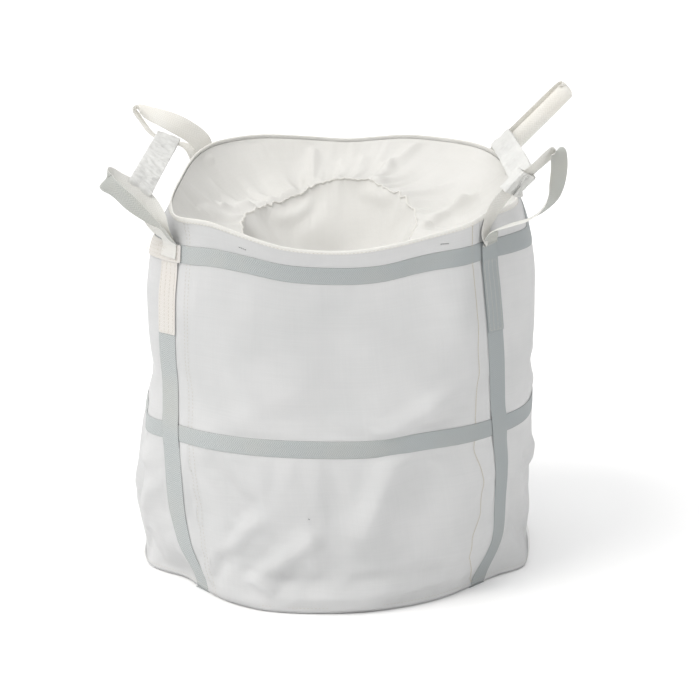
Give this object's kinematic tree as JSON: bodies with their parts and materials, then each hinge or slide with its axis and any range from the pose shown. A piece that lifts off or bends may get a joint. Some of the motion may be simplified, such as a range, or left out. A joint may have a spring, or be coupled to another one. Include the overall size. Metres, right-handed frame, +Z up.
{
  "type": "bulk bag",
  "caption": "Open woven bulk bag with webbing straps and belts, lift loops tied in pairs by sleeves, and a top panel whose filling spout is tucked inside.",
  "frame": {"origin": "centre of the crossing of the two base straps, on their underside, which is the plane that the bag stands on", "axes": "+Z up out of the bag's mouth; the front, where the rim is lowest, faces -Y; +X is to the right seen from the front"},
  "size_m": [1.3714, 1.0923, 1.3376],
  "materials": {
    "wall_cloth": "matte",
    "inner_cloth": "matte",
    "webbing": "matte",
    "loop_webbing": "matte",
    "thread": "matte"
  },
  "bodies": {
    "bag": {"front_panel": "wall_cloth", "right_panel": "wall_cloth", "back_panel": "wall_cloth", "left_panel": "wall_cloth", "base_panel": "wall_cloth", "rim_hem": "wall_cloth", "top_panel": "inner_cloth", "base_seam": "thread", "mid_belt": "webbing", "mid_belt_end": "webbing", "upper_belt": "webbing", "upper_belt_end": "webbing", "base_strap_front_left_to_back_right": "webbing", "base_strap_front_right_to_back_left": "webbing", "front_left_strap": "webbing", "front_right_strap": "webbing", "back_left_strap": "webbing", "back_right_strap": "webbing", "front_left_loop_leg": "loop_webbing", "front_right_loop_leg": "webbing", "back_left_loop_leg": "loop_webbing", "back_right_loop_leg": "loop_webbing"},
    "front_left_loop": {"front_left_lift_loop": "loop_webbing", "left_connector_sleeve": "inner_cloth"},
    "back_left_loop": {"back_left_lift_loop": "loop_webbing"},
    "front_right_loop": {"front_right_lift_loop": "loop_webbing", "right_connector_sleeve": "inner_cloth"},
    "back_right_loop": {"back_right_lift_loop": "loop_webbing"},
    "spout": {"filling_spout": "inner_cloth", "spout_hem": "thread"}
  },
  "joints": [
    {"name": "left_loops_swing", "type": "hinge", "parent": "bag", "child": "front_left_loop", "pos_m": [-0.465, -0.366, 1.008], "axis": [0, 1, 0], "range_deg": [-85, 31]},
    {"name": "back_left_loop_follows", "type": "hinge", "parent": "bag", "child": "back_left_loop", "pos_m": [-0.465, 0.379, 1.008], "axis": [0, 1, 0], "range_deg": [-85, 31]},
    {"name": "right_loops_swing", "type": "hinge", "parent": "bag", "child": "front_right_loop", "pos_m": [0.46, -0.415, 1.008], "axis": [0, -1, 0], "range_deg": [-85, 20]},
    {"name": "back_right_loop_follows", "type": "hinge", "parent": "bag", "child": "back_right_loop", "pos_m": [0.46, 0.416, 1.008], "axis": [0, -1, 0], "range_deg": [-85, 20]},
    {"name": "spout_lift", "type": "slide", "parent": "bag", "child": "spout", "axis": [0, 0, 1], "range_m": [0, 0.4]}
  ],
  "couplings": [
    {"joint": "back_left_loop_follows", "follows": "left_loops_swing", "ratio": 1},
    {"joint": "back_right_loop_follows", "follows": "right_loops_swing", "ratio": 1}
  ]
}
